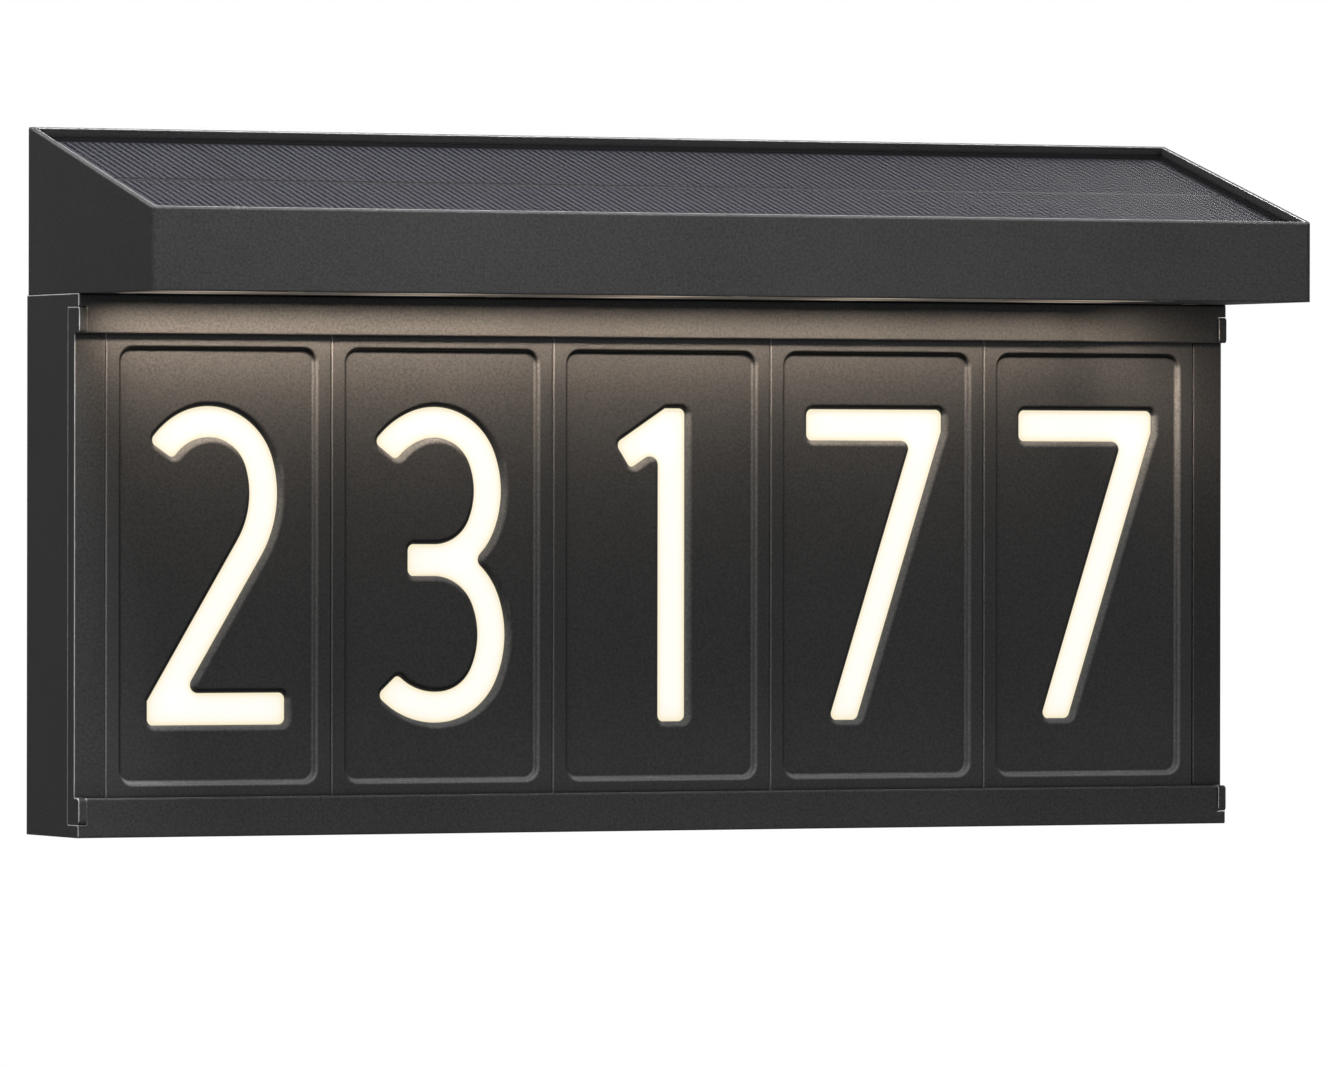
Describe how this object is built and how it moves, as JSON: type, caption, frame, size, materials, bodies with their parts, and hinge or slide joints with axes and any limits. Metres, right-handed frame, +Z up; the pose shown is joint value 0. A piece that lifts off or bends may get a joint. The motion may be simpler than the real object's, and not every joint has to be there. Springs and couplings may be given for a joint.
{
  "type": "illuminated house number sign",
  "caption": "Wall-mounted house number sign with slide-in number tiles lit from behind, and a sloping solar hood with a downlight above them.",
  "frame": {"origin": "on the wall plane, midway between the entry circles of the two keyholes in the rear cover", "axes": "+X to the right as seen from the street, +Y into the wall, +Z up"},
  "size_m": [0.4, 0.1015, 0.2202],
  "materials": {
    "housing_plastic": "fine matt texture",
    "tile_plastic": "fine matt texture",
    "cover_plastic": "satin",
    "button_plastic": "matt",
    "opal_lens": "opal satin",
    "clear_lens": "frosted",
    "panel_clear": "fine matt",
    "solar_cell": "satin",
    "panel_backing": "satin",
    "light_guide": "polished",
    "white_sheet": "matt",
    "circuit_board": "lacquered",
    "white_board": "lacquered",
    "led": "satin",
    "electronics": "matt",
    "screw_steel": "zinc plated",
    "contact_steel": "nickel plated",
    "cell_wrap": "wrapped",
    "seal_rubber": "matt",
    "foam_tape": "matt",
    "lead_jacket": "satin"
  },
  "bodies": {
    "sign": {"housing": "housing_plastic", "hood_shell": "housing_plastic", "hood_base": "housing_plastic", "rear_cover": "cover_plastic", "battery_door": "cover_plastic", "light_tray": "white_sheet", "reflector_sheet": "white_sheet", "diffuser_sheet": "white_sheet", "light_guide": "light_guide", "led_strip_board": "white_board", "led_strip_leds": "led", "control_board": "circuit_board", "board_components": "electronics", "mode_switch": "electronics", "board_screws": "screw_steel", "tray_screws": "screw_steel", "rear_cover_screws": "screw_steel", "battery_door_screws": "screw_steel", "hood_base_screws": "screw_steel", "hood_screws": "screw_steel", "downlight_screws": "screw_steel", "battery_contacts": "contact_steel", "battery_cells": "cell_wrap", "rear_cover_gasket": "seal_rubber", "battery_door_seal": "seal_rubber", "button_seal": "seal_rubber", "cable_grommet": "seal_rubber", "panel_adhesive": "foam_tape", "solar_panel_backing": "panel_backing", "solar_cells": "solar_cell", "solar_panel_cover": "panel_clear", "downlight_lens": "clear_lens", "downlight_board": "white_board", "downlight_leds": "led", "panel_lead": "lead_jacket", "downlight_lead": "lead_jacket", "led_strip_lead": "lead_jacket", "battery_lead": "lead_jacket"},
    "left_cap": {"left_end_cap": "housing_plastic"},
    "right_cap": {"right_end_cap": "housing_plastic"},
    "button": {"mode_button": "button_plastic"},
    "tile_1": {"number_tile_1": "tile_plastic", "digit_lens_1": "opal_lens"},
    "tile_2": {"number_tile_2": "tile_plastic", "digit_lens_2": "opal_lens"},
    "tile_3": {"number_tile_3": "tile_plastic", "digit_lens_3": "opal_lens"},
    "tile_4": {"number_tile_4": "tile_plastic", "digit_lens_4": "opal_lens"},
    "tile_5": {"number_tile_5": "tile_plastic", "digit_lens_5": "opal_lens"}
  },
  "joints": [
    {"name": "left_cap_slide", "type": "slide", "parent": "sign", "child": "left_cap", "axis": [-1, 0, 0], "range_m": [0, 0.12]},
    {"name": "right_cap_slide", "type": "slide", "parent": "sign", "child": "right_cap", "axis": [1, 0, 0], "range_m": [0, 0.12]},
    {"name": "tile_1_slide", "type": "slide", "parent": "sign", "child": "tile_1", "axis": [-1, 0, 0], "range_m": [0, 0.096]},
    {"name": "tile_2_slide", "type": "slide", "parent": "sign", "child": "tile_2", "axis": [-1, 0, 0], "range_m": [0, 0.06]},
    {"name": "tile_3_slide", "type": "slide", "parent": "sign", "child": "tile_3", "axis": [1, 0, 0], "range_m": [0, 0.024]},
    {"name": "tile_4_slide", "type": "slide", "parent": "sign", "child": "tile_4", "axis": [1, 0, 0], "range_m": [0, 0.06]},
    {"name": "tile_5_slide", "type": "slide", "parent": "sign", "child": "tile_5", "axis": [1, 0, 0], "range_m": [0, 0.096]},
    {"name": "mode_button_press", "type": "slide", "parent": "sign", "child": "button", "axis": [0, 0, 1], "range_m": [0, 0.0012], "stiffness_N_per_m": 800, "springref_m": -0.0008}
  ],
  "couplings": [
    {"joint": "tile_1_slide", "follows": "left_cap_slide", "ratio": 0.8},
    {"joint": "tile_2_slide", "follows": "left_cap_slide", "ratio": 0.5},
    {"joint": "tile_5_slide", "follows": "right_cap_slide", "ratio": 0.8},
    {"joint": "tile_4_slide", "follows": "right_cap_slide", "ratio": 0.5},
    {"joint": "tile_3_slide", "follows": "right_cap_slide", "ratio": 0.2}
  ]
}
